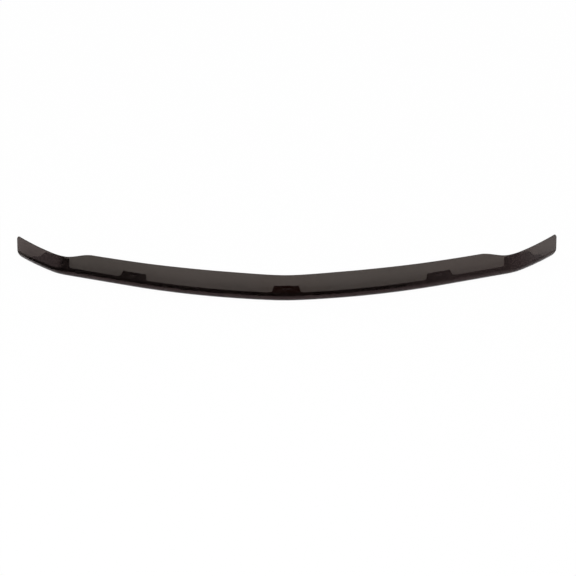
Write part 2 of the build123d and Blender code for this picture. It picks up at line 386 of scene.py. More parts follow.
def add_corner(points_before, point, radius):
    """Adds a side's points and the corner at its end, and notes its rounding."""
    plan_corners.extend(points_before[1:])
    plan_radii[len(plan_corners)] = radius
    plan_corners.append(point)


def side_to(point, radius):
    """Adds the straight side up to this corner."""
    add_corner(straight_side(plan_corners[-1], point), point, radius)


side_to(centre_side[0], TAB_CORNER_R)
centre_root, station = meet(centre_side, FLANGE_DEPTH)
side_to(centre_root, TAB_ROOT_R)
for tab_inner, tab_outer, depth_after in (
    (inner_side, outer_side, FLANGE_DEPTH),
    (wing_inner, wing_outer, END_FLANGE_DEPTH),
):
    root_in, tab_station = meet(tab_inner, FLANGE_DEPTH)
    add_corner(side_behind(station, tab_station, FLANGE_DEPTH), root_in, TAB_ROOT_R)
    side_to(tab_inner[0], TAB_CORNER_R)
    side_to(tab_outer[0], TAB_CORNER_R)
    root_out, station = meet(tab_outer, depth_after)
    side_to(root_out, TAB_ROOT_R)
flange_end = side_behind(station, FLANGE_STOP, END_FLANGE_DEPTH)
add_corner(flange_end, behind(FLANGE_STOP, END_FLANGE_DEPTH), TAB_CORNER_R)
plan_corners.append(behind(FLANGE_STOP, JOIN_DEPTH))
flange_part = [flat_of_plan(p) for p in rounded(plan_corners, plan_radii)]
print("flange outline points", len(flange_part))

# %% [markdown]
# Past the flange's end only the blade and a lip of the bend carry on. The end
# is cut on a rake in a plane square to the wing, with a large round at the
# lower corner, so on the bend's arc the cut depends on how far round the arc a
# point lies.

# %% The raked end
LIP_KEEP = 6.0
LIP = BEND_R * math.asin(LIP_KEEP / (BEND_R - SHEET / 2))
RAKE_DEG = 30.0
RAKE = math.tan(math.radians(RAKE_DEG))
LOWER_CORNER_R = 22.0
TIP_SLOPE = top_across(LINE) - BEND_ARC
WING_R = LINE * WING_RUN[0] / math.radians(WING_RUN[2] - WING_RUN[1])

low_x = -(TIP_SLOPE + BEND_R) * RAKE
corner_reach = LOWER_CORNER_R / math.tan(math.radians((90 + RAKE_DEG) / 2))
round_x = low_x - corner_reach
round_y = -BEND_R + LOWER_CORNER_R
round_top = -BEND_R + corner_reach * math.cos(math.radians(RAKE_DEG))


def end_station(across):
    """The station where the raked end cuts the sheet, this far across it."""
    if across >= BEND_ARC:
        height = across - BEND_ARC
        back = height * math.sin(LEAN) - BEND_R * math.cos(LEAN)
    else:
        angle = (BEND_ARC - across) / BEND_R
        height = -BEND_R * math.sin(angle)
        back = -BEND_R * math.cos(LEAN + angle)
    cut = (height - TIP_SLOPE) * RAKE
    if height < round_top:
        span = LOWER_CORNER_R**2 - (height - round_y) ** 2
        cut = round_x + math.sqrt(max(0.0, span))
    return LINE + cut / (1 - back / WING_R)


print("lip ends at station", round(end_station(LIP), 1))

# %% [markdown]
# The blade's half of the outline runs from the flange's end along the lip, up
# the raked end and back along the top edge. With the flange's half it makes
# the right side, and its mirror image the left one.

# %% The blade's outline
FLANGE_STOP_R = 3.5
TIP_CORNER_R = 6.0
FINE_SPACING = 1.5

flat_corners = [(FLANGE_STOP, across) for across in (-JOIN_DEPTH, -JOIN_DEPTH / 2, 0.0)]
flat_radii = {len(flat_corners): FLANGE_STOP_R}
flat_corners.append((FLANGE_STOP, LIP))
flat_corners += straight_side((FLANGE_STOP, LIP), (end_station(LIP), LIP), FINE_SPACING)[1:]
across_steps = np.arange(LIP, top_across(LINE), FINE_SPACING)
flat_corners += [(end_station(across), across) for across in across_steps]
flat_radii[len(flat_corners)] = TIP_CORNER_R
flat_corners.append((LINE, top_across(LINE)))
top_steps = np.arange(LINE - SPACING, SPACING / 2, -SPACING)
flat_corners += [(station, top_across(station)) for station in top_steps]
flat_corners.append((0.0, top_across(0.0)))
blade_part = rounded(flat_corners, flat_radii)

right_half = [np.array(p) for p in flange_part] + list(blade_part[1:])
left_half = [np.array([-p[0], p[1]]) for p in reversed(right_half[1:-1])]
outline = np.array(right_half + left_half)
print("outline points", len(outline))

# %% [markdown]
# The slots and holes take the fasteners that hold the shield to the hood. The
# slots lie along the tab's back edge, so the shield can shift sideways while
# it is being fitted.

# %% Slots and holes
SLOT_LENGTH = 17.0
SLOT_WIDTH = 6.5
SLOT_INSET = 12.5
SLOT_END_STEPS = 8
HOLE_R = 3.5
HOLE_STEPS = 20
BACK_HOLE_OFFSET = 7.0
BACK_HOLE_INSET = 20.0
FRONT_HOLE_OFFSET = 16.0
HOLE_SPACING = 26.0


def slot_loop(centre, turn):
    """Plan points round a slot."""
    radius = SLOT_WIDTH / 2
    reach = SLOT_LENGTH / 2 - radius
    points = []
    for end, start in ((1, -math.pi / 2), (-1, math.pi / 2)):
        for step in range(SLOT_END_STEPS + 1):
            angle = start + math.pi * step / SLOT_END_STEPS
            points.append((end * reach + radius * math.cos(angle), radius * math.sin(angle)))
    c, s = math.cos(turn), math.sin(turn)
    return [(centre[0] + c * x - s * y, centre[1] + s * x + c * y) for x, y in points]


def hole_loop(centre):
    """Plan points round a hole."""
    angles = [2 * math.pi * step / HOLE_STEPS for step in range(HOLE_STEPS)]
    return [
        (centre[0] + HOLE_R * math.cos(angle), centre[1] + HOLE_R * math.sin(angle))
        for angle in angles
    ]


outer_slot = (tab_x, back_y - SLOT_INSET / math.cos(tab_heading))
back_hole_reach = WING_TAB_REACH_IN - BACK_HOLE_INSET
back_hole = behind(station_for(WING_TAB_X - BACK_HOLE_OFFSET, back_hole_reach), back_hole_reach)
front_hole = (WING_TAB_X - FRONT_HOLE_OFFSET, back_hole[1] - HOLE_SPACING)
right_loops = [slot_loop(outer_slot, tab_heading), hole_loop(back_hole), hole_loop(front_hole)]
hole_loops = [slot_loop((0.0, TAB_REACH - SLOT_INSET), 0.0)] + right_loops
hole_loops += [[(-x, y) for x, y in reversed(loop)] for loop in right_loops]
flat_holes = [np.array([flat_of_plan(p) for p in loop]) for loop in hole_loops]
print("openings cut", len(flat_holes))

# %% [markdown]
# Each cut edge gets a small profile: flame polishing rounds the blade's rim by
# 1.2 mm, and the saw's edges on the flange and tabs are only broken. The rim
# is a set of rings, each a little farther in from the outline.

# %% Rings along the cut edges
BLADE_EDGE_R = 1.2
SAWN_EDGE_R = 0.35
PROFILE_STEPS = 4
EDGE_BLEND_PASSES = 4
LIP_MARGIN = 1.0
LEAST_GAP = 0.25
LEAST_TURN = 0.7


def inward(loop):
    """Unit vectors into the sheet from a loop that runs counterclockwise."""
    before = np.roll(loop, 1, axis=0)
    after = np.roll(loop, -1, axis=0)
    first = loop - before
    second = after - loop
    first /= np.linalg.norm(first, axis=1)[:, None]
    second /= np.linalg.norm(second, axis=1)[:, None]
    along = first + second
    along /= np.linalg.norm(along, axis=1)[:, None]
    normal = np.stack([-along[:, 1], along[:, 0]], 1)
    stretch = (along * first).sum(1)
    return normal / np.maximum(stretch, LEAST_TURN)[:, None]


def without_doubles(loop):
    """The loop without points that nearly coincide."""
    kept = [loop[0]]
    for point in loop[1:]:
        if np.linalg.norm(point - kept[-1]) > LEAST_GAP:
            kept.append(point)
    if np.linalg.norm(kept[0] - kept[-1]) < LEAST_GAP:
        kept.pop()
    return np.array(kept)


def ring(loop, radii, normals, turn):
    """The ring where the edge's profile has turned this far, and its depth."""
    inset = radii * (1 - math.sin(turn))
    depth = radii * (1 - math.cos(turn))
    return loop + normals * inset[:, None], depth


# each loop with the radius of its edge at every point, and its inward vectors
outline = without_doubles(outline)
polished = (outline[:, 1] > LIP - LIP_MARGIN).astype(float)
for _ in range(EDGE_BLEND_PASSES):
    polished = (np.roll(polished, 1) + polished + np.roll(polished, -1)) / 3
outline_r = SAWN_EDGE_R + (BLADE_EDGE_R - SAWN_EDGE_R) * polished
loops = [(outline, outline_r, inward(outline))]
for hole in flat_holes:
    loop = without_doubles(hole[::-1])
    loops.append((loop, np.full(len(loop), SAWN_EDGE_R), inward(loop)))
print("rim points", sum(len(loop) for loop, _, _ in loops))

# %% [markdown]
# The faces between the rims need points that follow the fold: close rows round
# the bend, wide rows on the flat flange and blade, and columns along the
# station. They keep clear of the rims, which bring points of their own.

# %% Points between the rims
COLUMN = 4.5
COLUMNS_EACH_WAY = 170
BEND_STEPS = 14
FLANGE_SPAN = 72.0
FLANGE_STEPS = 12
BLADE_SPAN = 56.0
BLADE_STEPS = 8
RIM_CLEARANCE = 2.6

flange_rows = np.linspace(0, -FLANGE_SPAN, FLANGE_STEPS + 1)
bend_rows = np.linspace(0, BEND_ARC, BEND_STEPS + 1)
blade_rows = np.linspace(BEND_ARC, BEND_ARC + BLADE_SPAN, BLADE_STEPS + 1)
rows = [*bend_rows, *flange_rows[1:], *blade_rows[1:]]
columns = np.arange(-COLUMNS_EACH_WAY, COLUMNS_EACH_WAY + 1) * COLUMN
lattice = np.array([(station, across) for station in columns for across in rows])


def inside(points, loop):
    """Which points lie inside a closed loop."""
    result = np.zeros(len(points), bool)
    for a, b in zip(loop, np.roll(loop, -1, axis=0)):
        if a[1] == b[1]:
            continue
        cross = (a[1] > points[:, 1]) != (b[1] > points[:, 1])
        edge = (b[0] - a[0]) * (points[:, 1] - a[1]) / (b[1] - a[1]) + a[0]
        result ^= cross & (points[:, 0] < edge)
    return result


def clear_of(points, loop, least):
    """Which points are at least this far from a closed loop."""
    result = np.full(len(points), np.inf)
    for a, b in zip(loop, np.roll(loop, -1, axis=0)):
        along = b - a
        share = np.clip(((points - a) @ along) / (along @ along), 0, 1)
        gap = points - a - share[:, None] * along
        result = np.minimum(result, (gap**2).sum(1))
    return result > least**2


keep = inside(lattice, outline)
for loop, _, _ in loops:
    keep &= clear_of(lattice, loop, RIM_CLEARANCE)
for loop, _, _ in loops[1:]:
    keep &= ~inside(lattice, loop)
lattice = lattice[keep]
print("points between the rims", len(lattice))

# %% [markdown]
# One more ring behind each rim holds the flat face flat, so the light line
# along the edge stays thin. A constrained Delaunay triangulation joins the
# rings to the points between them. The same triangles serve both faces, so
# light goes straight through the sheet.

# %% Triangles of the flat sheet
SUPPORT = 0.6
CDT_WHOLE_HULL = 0
CDT_TOLERANCE = 1e-5

face_rings = [ring(loop, radii, normals, 0.0)[0] for loop, radii, normals in loops]
support_rings = [
    loop + normals * (radii + SUPPORT)[:, None] for loop, radii, normals in loops
]
flat_points = np.concatenate(face_rings + support_rings + [lattice])
rim_edges = []
ring_spans = []
for face_ring in face_rings:
    start = sum(size for _, size in ring_spans)
    size = len(face_ring)
    ring_spans.append((start, size))
    rim_edges += [(start + i, start + (i + 1) % size) for i in range(size)]

cdt = delaunay_2d_cdt(
    [Vector(p) for p in flat_points], rim_edges, [], CDT_WHOLE_HULL, CDT_TOLERANCE
)
cdt_points = np.array([tuple(p) for p in cdt[0]])
triangles = np.array([tuple(t) for t in cdt[2]])
middles = cdt_points[triangles].mean(1)
good = inside(middles, face_rings[0])
for face_ring in face_rings[1:]:
    good &= ~inside(middles, face_ring)
triangles = triangles[good]
new_index = {old: new for new, olds in enumerate(cdt[3]) for old in olds}
print("face points", len(cdt_points), "triangles", len(triangles))

# %% [markdown]
# The flat sheet becomes a mesh whose X is the station, whose Y runs across the
# sheet and whose Z is the depth below the outer face. The two faces share the
# triangles and the rims close the sheet between them. Each point of a rim also
# keeps how sawn it is, from 0 where the edge is flame polished to 1 where it is
# left as the saw made it. The material frosts the sawn edges by that value.

# %% Mesh of the flat sheet
outer_face = [(x * MM, y * MM, 0.0) for x, y in cdt_points]
inner_face = [(x * MM, y * MM, SHEET * MM) for x, y in cdt_points]
vertices = outer_face + inner_face
to_inner = len(cdt_points)
faces = [tuple(int(i) for i in t[::-1]) for t in triangles]
faces += [tuple(int(i) + to_inner for i in t) for t in triangles]
sawn = [0.0] * len(vertices)
turns = [math.pi / 2 * step / PROFILE_STEPS for step in range(1, PROFILE_STEPS + 1)]

for (loop, radii, normals), (start, size) in zip(loops, ring_spans):
    rings = [[new_index[start + i] for i in range(size)]]
    sawn += list((BLADE_EDGE_R - radii) / (BLADE_EDGE_R - SAWN_EDGE_R)) * (2 * PROFILE_STEPS)
    profile = [(turn, False) for turn in turns] + [(turn, True) for turn in reversed(turns)]
    for turn, from_inner in profile:
        places, depth = ring(loop, radii, normals, turn)
        if from_inner:
            depth = SHEET - depth
        rings.append(list(range(len(vertices), len(vertices) + size)))
        vertices += [(p[0] * MM, p[1] * MM, z * MM) for p, z in zip(places, depth)]
    rings.append([new_index[start + i] + to_inner for i in range(size)])
    for lower, upper in zip(rings, rings[1:]):
        for i in range(size):
            j = (i + 1) % size
            faces.append((lower[i], lower[j], upper[j], upper[i]))

flat_sheet = bpy.data.meshes.new("flat_sheet")
flat_sheet.from_pydata(vertices, [], faces)
flat_sheet.attributes.new("sawn", "FLOAT", "POINT").data.foreach_set("value", sawn)
flat_sheet.update()
print("flat sheet", len(vertices), "points", len(faces), "faces")

# %% [markdown]
# The bend line is a curve in plan, and only a guide: it goes away once the
# sheet is folded.

# %% The bend line as a curve
LINE_SPARE = 12.0
LINE_POINTS = 1041
line_stations = np.linspace(-LINE - LINE_SPARE, LINE + LINE_SPARE, LINE_POINTS)
line_data = bpy.data.curves.new("bend_line", "CURVE")
line_data.dimensions = "3D"
spline = line_data.splines.new("POLY")
spline.points.add(LINE_POINTS - 1)
for point, station in zip(spline.points, line_stations):
    x, y, _ = plan_at(station)
    point.co = (x * MM, (y + CENTRE_Y) * MM, 0.0, 1.0)
bend_line = bpy.data.objects.new("bend_line", line_data)
bpy.context.collection.objects.link(bend_line)
print("bend line points", len(spline.points))

# %% [markdown]
# Every node tree in this script is built with one small function. It adds a
# node, sets its properties, and gives each input a value or a link.

# %% A function that adds a node
def add_node(tree, kind, inputs=None, **settings):
    """Adds a node, sets its properties and its inputs: a value, or a socket to link."""
    node = tree.nodes.new(kind)
    for name, value in settings.items():
        setattr(node, name, value)
    for key, value in (inputs or {}).items():
        if isinstance(value, bpy.types.NodeSocket):
            tree.links.new(value, node.inputs[key])
        else:
            node.inputs[key].default_value = value
    return node


# %% [markdown]
# Heat bending, as a node tree. For each point the tree first works out how far
# round the bend it lies, and so how far behind the bend line and how high.

# %% Fold the sheet: how far back and how high
fold = bpy.data.node_groups.new("fold_along_line", "GeometryNodeTree")
sockets = {}
for name, kind in (
    ("Sheet", "NodeSocketGeometry"),
    ("Bend radius", "NodeSocketFloat"),
    ("Lean", "NodeSocketFloat"),
    ("Line start", "NodeSocketFloat"),
    ("Bend line", "NodeSocketObject"),
    ("Finish", "NodeSocketMaterial"),
):
    item = fold.interface.new_socket(name=name, in_out="INPUT", socket_type=kind)
    sockets[name] = item.identifier
fold.interface.new_socket(name="Shield", in_out="OUTPUT", socket_type="NodeSocketGeometry")
given = fold.nodes.new("NodeGroupInput").outputs

sheet_place = add_node(fold, "GeometryNodeInputPosition").outputs[0]
flat = add_node(fold, "ShaderNodeSeparateXYZ", {0: sheet_place}).outputs
known = {"station": flat[0], "across": flat[1], "depth": flat[2]}
known |= {"bend": given["Bend radius"], "lean": given["Lean"], "start": given["Line start"]}

# name of the result, operation, and the two values that go in
SUMS = (
    ("turn", "ADD", "lean", math.pi / 2),
    ("arc", "MULTIPLY", "turn", "bend"),
    ("short of arc", "MINIMUM", "across", "arc"),
    ("on arc", "MAXIMUM", "short of arc", 0.0),
    ("angle", "DIVIDE", "on arc", "bend"),
    ("beyond", "SUBTRACT", "across", "arc"),
    ("past", "MAXIMUM", "beyond", 0.0),
    ("below", "MULTIPLY", "across", -1.0),
    ("before", "MAXIMUM", "below", 0.0),
    ("radius", "SUBTRACT", "bend", "depth"),
    ("sine", "SINE", "angle", 0.0),
    ("cosine", "COSINE", "angle", 0.0),
    ("arc back", "MULTIPLY", "radius", "sine"),
    ("arc up", "MULTIPLY", "radius", "cosine"),
    ("lean sine", "SINE", "lean", 0.0),
    ("lean cosine", "COSINE", "lean", 0.0),
    ("blade back", "MULTIPLY", "past", "lean sine"),
    ("blade up", "MULTIPLY", "past", "lean cosine"),
    ("back of arc", "SUBTRACT", "blade back", "arc back"),
    ("back", "ADD", "back of arc", "before"),
    ("up from arc", "SUBTRACT", "bend", "arc up"),
    ("up", "ADD", "up from arc", "blade up"),
    ("sampled", "SUBTRACT", "station", "start"),
)
for name, operation, first, second in SUMS:
    ends = {0: known.get(first, first), 1: known.get(second, second)}
    known[name] = add_node(fold, "ShaderNodeMath", ends, operation=operation).outputs[0]
print("fold nodes so far", len(fold.nodes))

# %% [markdown]
# The tree then samples the bend line at the point's station for the place and
# the direction, and moves the point there. Changing the radius, the lean or the
# line folds the same cut sheet anew.

# %% Fold the sheet: its place in plan
line = add_node(fold, "GeometryNodeObjectInfo", {"Object": given["Bend line"]})
sample = add_node(
    fold,
    "GeometryNodeSampleCurve",
    {"Curves": line.outputs["Geometry"], "Length": known["sampled"]},
    mode="LENGTH",
)
tangent = add_node(fold, "ShaderNodeSeparateXYZ", {0: sample.outputs["Tangent"]}).outputs
sideways = add_node(
    fold, "ShaderNodeMath", {0: tangent[1], 1: -1.0}, operation="MULTIPLY"
).outputs[0]
normal = add_node(fold, "ShaderNodeCombineXYZ", {"X": sideways, "Y": tangent[0]}).outputs[0]
behind_line = add_node(
    fold, "ShaderNodeVectorMath", {0: normal, "Scale": known["back"]}, operation="SCALE"
).outputs[0]
above = add_node(fold, "ShaderNodeCombineXYZ", {"Z": known["up"]}).outputs[0]
in_plan = add_node(
    fold,
    "ShaderNodeVectorMath",
    {0: sample.outputs["Position"], 1: behind_line},
    operation="ADD",
).outputs[0]
folded = add_node(
    fold, "ShaderNodeVectorMath", {0: in_plan, 1: above}, operation="ADD"
).outputs[0]
moved = add_node(
    fold, "GeometryNodeSetPosition", {"Geometry": given["Sheet"], "Position": folded}
).outputs[0]
smooth = add_node(fold, "GeometryNodeSetShadeSmooth", {"Geometry": moved}).outputs[0]
real = add_node(fold, "GeometryNodeRealizeInstances", {"Geometry": smooth}).outputs[0]
finished = add_node(
    fold, "GeometryNodeSetMaterial", {"Geometry": real, "Material": given["Finish"]}
).outputs[0]
add_node(fold, "NodeGroupOutput", {"Shield": finished})
print("fold nodes", len(fold.nodes))

# %% [markdown]
# The acrylic is cast sheet with a smoke dye through its whole thickness. Light
# that crosses it is weakened evenly, a little more in blue than in red, which
# gives a warm near-black where two layers overlap and a brown-grey where there
# is one. The dye is therefore a volume: its strength is worked out from the
# share of light that one layer of the real thickness passes.

# %% Colours and the smoke dye
def colour(hex_code):
    """Linear colour from an sRGB hex value."""
    parts = [int(hex_code[i : i + 2], 16) / 255 for i in (1, 3, 5)]
    linear = [c / 12.92 if c <= 0.04045 else ((c + 0.055) / 1.055) ** 2.4 for c in parts]
    return (*linear, 1.0)


# the share of light that one layer passes, and that its two surfaces pass alone
ONE_LAYER = colour("#534D4A")
SURFACES_PASS = 0.92
# how much the volume's colour takes away per metre
DYE_DENSITY = 1000.0
dye = [1 + math.log(c / SURFACES_PASS) / (SHEET * MM * DYE_DENSITY) for c in ONE_LAYER[:3]]
print("dye colour", [round(c, 3) for c in dye])

# %% [markdown]
# No sheet that rode on a hood is perfectly even. The dye varies slightly over a
# hand's width, the polish is a touch hazier in patches, and wiping leaves fine
# hairlines. They are drawn 1.5 mm apart, coarser than real ones, so that they
# show.

# %% Smoked acrylic: how it is worn
# patterns per metre: dye 110 mm wide, haze 36 mm, hairlines 45 mm long and
# 1.5 mm apart
DYE_CLOUDS = 9.0
HAZE_PATCHES = 28.0
HAIRLINES = (22.0, 22.0, 660.0)

smoked_acrylic = bpy.data.materials.new("smoked_acrylic")
smoked_acrylic.use_nodes = True
tree = smoked_acrylic.node_tree
tree.nodes.clear()
spot = add_node(tree, "ShaderNodeTexCoord").outputs["Object"]
cloud = add_node(
    tree, "ShaderNodeTexNoise", {"Vector": spot, "Scale": DYE_CLOUDS, "Detail": 2.0}
).outputs["Fac"]
tint = add_node(
    tree,
    "ShaderNodeMix",
    {0: cloud, 6: colour("#F4F1EE"), 7: colour("#FFFFFF")},
    data_type="RGBA",
).outputs[2]
haze = add_node(
    tree, "ShaderNodeTexNoise", {"Vector": spot, "Scale": HAZE_PATCHES, "Detail": 3.0}
).outputs["Fac"]
wiped = add_node(tree, "ShaderNodeMapping", {"Vector": spot, "Scale": HAIRLINES}).outputs[0]
hairline = add_node(
    tree, "ShaderNodeTexNoise", {"Vector": wiped, "Scale": 1.0}
).outputs["Fac"]
polish = add_node(
    tree,
    "ShaderNodeMapRange",
    {"Value": haze, "From Min": 0.35, "From Max": 0.7, "To Min": 0.015, "To Max": 0.045},
).outputs[0]
scuff = add_node(
    tree,
    "ShaderNodeMapRange",
    {"Value": hairline, "From Min": 0.62, "From Max": 0.75, "To Max": 0.05},
).outputs[0]
worn = add_node(tree, "ShaderNodeMath", {0: polish, 1: scuff}, operation="ADD").outputs[0]
print("wear nodes", len(tree.nodes))

# %% [markdown]
# The surface is polished and clear, with acrylic's refractive index of 1.49. The
# sawn edges of the flange, tabs and slots are frosted, as their rim value says.
# Heating also leaves a faint swell along the sheet, which bends the reflections
# a little without being seen itself.

# %% Smoked acrylic: its surface and its smoke
ACRYLIC_IOR = 1.49
SAWN_ROUGHNESS = 0.5
# swells per metre, each 71 mm wide and far less than a millimetre high
SWELLS = 14.0

sawn_edge = add_node(tree, "ShaderNodeAttribute", attribute_name="sawn").outputs["Fac"]
rough = add_node(
    tree,
    "ShaderNodeMath",
    {0: sawn_edge, 1: SAWN_ROUGHNESS, 2: worn},
    operation="MULTIPLY_ADD",
).outputs[0]
swell = add_node(
    tree, "ShaderNodeTexNoise", {"Vector": spot, "Scale": SWELLS, "Detail": 1.0}
).outputs["Fac"]
swell_bump = add_node(
    tree, "ShaderNodeBump", {"Height": swell, "Strength": 0.05, "Distance": 0.001}
).outputs[0]
acrylic = add_node(
    tree,
    "ShaderNodeBsdfPrincipled",
    {
        "Base Color": tint,
        "Roughness": rough,
        "IOR": ACRYLIC_IOR,
        "Specular Tint": colour("#FFD9D9"),
        "Transmission Weight": 1.0,
        "Normal": swell_bump,
    },
).outputs[0]
smoke = add_node(
    tree, "ShaderNodeVolumeAbsorption", {"Color": (*dye, 1.0), "Density": DYE_DENSITY}
).outputs[0]
add_node(tree, "ShaderNodeOutputMaterial", {"Surface": acrylic, "Volume": smoke})
print("acrylic nodes", len(tree.nodes))

# %% [markdown]
# Folding: the flat sheet gets the tree as a modifier, with the radius, the
# lean and the line as its inputs. The folded result is then kept as a plain
# mesh.

# %% Fold it
MM3_PER_M3 = 1e9
cut = bpy.data.objects.new("cut_sheet", flat_sheet)
bpy.context.collection.objects.link(cut)
heat_bend = cut.modifiers.new("heat_bend", "NODES")
heat_bend.node_group = fold
heat_bend[sockets["Bend radius"]] = BEND_R * MM
heat_bend[sockets["Lean"]] = LEAN
heat_bend[sockets["Line start"]] = -(LINE + LINE_SPARE) * MM
heat_bend[sockets["Bend line"]] = bend_line
heat_bend[sockets["Finish"]] = smoked_acrylic
bpy.context.view_layer.update()
evaluated = cut.evaluated_get(bpy.context.evaluated_depsgraph_get())
shield_mesh = bpy.data.meshes.new_from_object(evaluated)
shield_mesh.name = "bug_deflector"
bpy.data.objects.remove(cut)
bpy.data.objects.remove(bend_line)

shield = bpy.data.objects.new("bug_deflector", shield_mesh)
bpy.context.collection.objects.link(shield)
work = bmesh.new()
work.from_mesh(shield_mesh)
bmesh.ops.recalc_face_normals(work, faces=work.faces)
open_edges = sum(1 for edge in work.edges if not edge.is_manifold)
volume = work.calc_volume() * MM3_PER_M3
work.to_mesh(shield_mesh)
work.free()
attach(shield, "root")
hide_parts("deflector_shield")
shield_points = np.array([v.co[:] for v in shield_mesh.vertices])
print("folded box", shield_points.min(0).round(4), shield_points.max(0).round(4))
print("open edges", open_edges, "volume", round(volume), "mm3")

# %% [markdown]
# Reflections will see a studio that the camera doesn't, so the materials below
# have to know a mirrored ray from the others. Cycles marks light that has
# crossed the acrylic as glossy too, so only a glossy ray that isn't a
# transmitted one is a reflection.

# %% Which rays are reflections
def reflection_share(tree):
    """1 for a ray that a surface has mirrored, and 0 for every other ray."""
    ray = add_node(tree, "ShaderNodeLightPath").outputs
    return add_node(
        tree,
        "ShaderNodeMath",
        {0: ray["Is Glossy Ray"], 1: ray["Is Transmission Ray"]},
        operation="SUBTRACT",
        use_clamp=True,
    ).outputs[0]


# %% [markdown]
# The shield lies on a strip of white card on a pale table. The camera gets both
# as plain white with the shadow held back, as in the photograph. Through the
# acrylic the real shadow is left, because the table close behind a dark shield
# gets less light. Reflections see the card bright, and the table dim on the
# left and lighter to the right, where the studio's light spills on it.

# %% White card and laminate
CAMERA_WHITE = 0.97
# patterns per metre: a paper-like grain 25 mm wide
GRAIN = 40.0
# how bright reflections see the card, and the table on the left and the right
CARD_LEVEL = 0.75
TABLE_LEVEL = 0.04
TABLE_RIGHT_LEVEL = 0.5
# metres to the right where the table starts and stops getting lighter
LIGHTER_FROM = 0.2
LIGHTER_TO = 0.56


def white_surface(name, level, right_level):
    """A matt white that reflections see at one level, and at another on the right."""
    material = bpy.data.materials.new(name)
    material.use_nodes = True
    tree = material.node_tree
    tree.nodes.clear()
    where = add_node(tree, "ShaderNodeTexCoord").outputs["Object"]
    grain = add_node(tree, "ShaderNodeTexNoise", {"Vector": where, "Scale": GRAIN})
    white = add_node(
        tree,
        "ShaderNodeMix",
        {0: grain.outputs["Fac"], 6: colour("#FBFBFB"), 7: colour("#FFFFFF")},
        data_type="RGBA",
    ).outputs[2]
    lit = add_node(tree, "ShaderNodeBsdfDiffuse", {"Color": white}).outputs[0]
    plain = add_node(tree, "ShaderNodeEmission", {"Strength": 1.0}).outputs[0]
    ray = add_node(tree, "ShaderNodeLightPath").outputs
    held = add_node(
        tree,
        "ShaderNodeMath",
        {0: ray["Is Camera Ray"], 1: CAMERA_WHITE},
        operation="MULTIPLY",
    ).outputs[0]
    shown = add_node(tree, "ShaderNodeMixShader", {0: held, 1: lit, 2: plain}).outputs[0]
    across = add_node(tree, "ShaderNodeSeparateXYZ", {0: where}).outputs[0]
    strength = add_node(
        tree,
        "ShaderNodeMapRange",
        {
            "Value": across,
            "From Min": LIGHTER_FROM,
            "From Max": LIGHTER_TO,
            "To Min": level,
            "To Max": right_level,
        },
    ).outputs[0]
    glow = add_node(tree, "ShaderNodeEmission", {"Strength": strength}).outputs[0]
    top = add_node(
        tree, "ShaderNodeMixShader", {0: reflection_share(tree), 1: shown, 2: glow}
    ).outputs[0]
    add_node(tree, "ShaderNodeOutputMaterial", {"Surface": top})
    return material


white_card = white_surface("white_card", CARD_LEVEL, CARD_LEVEL)
white_laminate = white_surface("white_laminate", TABLE_LEVEL, TABLE_RIGHT_LEVEL)
print("surfaces", white_card.name, white_laminate.name)

# %% [markdown]
# The card follows the bend: 115 mm of it lie in front of the middle, and only
# 36 mm in front of the wings. The table reaches as far as the camera can see.

# %% Card and table
CARD_FRONT = -115.0
CARD_FRONT_WINGS = -36.0
CARD_BACK = 110.0
CARD_STEPS = 120
CARD_Z = -0.0002
TABLE_Z = -0.0006
TABLE_REACH = 12.0

card_stations = np.linspace(-LINE, LINE, CARD_STEPS + 1)
card_fronts = np.interp(
    abs(card_stations), (CORNER_AT, WING_AT), (CARD_FRONT, CARD_FRONT_WINGS)
)
card_points = []
for station, card_front in zip(card_stations, card_fronts):
    for reach in (card_front, CARD_BACK):
        x, y = behind(station, reach)
        card_points.append((x * MM, (y + CENTRE_Y) * MM, CARD_Z))
card_faces = [(2 * i, 2 * i + 2, 2 * i + 3, 2 * i + 1) for i in range(CARD_STEPS)]
table_points = [
    (x * TABLE_REACH, y * TABLE_REACH, TABLE_Z) for x, y in ((-1, -1), (1, -1), (1, 1), (-1, 1))
]
for name, surface_points, surface_faces, finish in (
    ("card", card_points, card_faces, white_card),
    ("table", table_points, [(0, 1, 2, 3)], white_laminate),
):
    mesh = bpy.data.meshes.new(name)
    mesh.from_pydata(surface_points, [], surface_faces)
    mesh.materials.append(finish)
    surface = bpy.data.objects.new(name, mesh)
    bpy.context.collection.objects.link(surface)
    print(name, len(surface_faces), "faces")

# %% [markdown]
# The room is a plain white dome for the camera and for what shows through the
# acrylic. Reflections see the studio itself, which differs by compass
# direction: a white sweep behind the shield, large panels to both sides, grey
# ones nearer the front, and the dark brown of the room around the camera in the
# middle.

# %% The studio by compass direction
room = bpy.data.worlds.new("studio")
bpy.context.scene.world = room
room.use_nodes = True
tree = room.node_tree
tree.nodes.clear()
direction = add_node(tree, "ShaderNodeTexCoord").outputs["Generated"]
right, back, up = add_node(tree, "ShaderNodeSeparateXYZ", {0: direction}).outputs
front = add_node(tree, "ShaderNodeMath", {0: back, 1: -1.0}, operation="MULTIPLY").outputs[0]
compass = add_node(tree, "ShaderNodeMath", {0: right, 1: front}, operation="ARCTAN2").outputs[0]
round_room = add_node(
    tree,
    "ShaderNodeMapRange",
    {"Value": compass, "From Min": -math.pi, "From Max": math.pi},
).outputs[0]

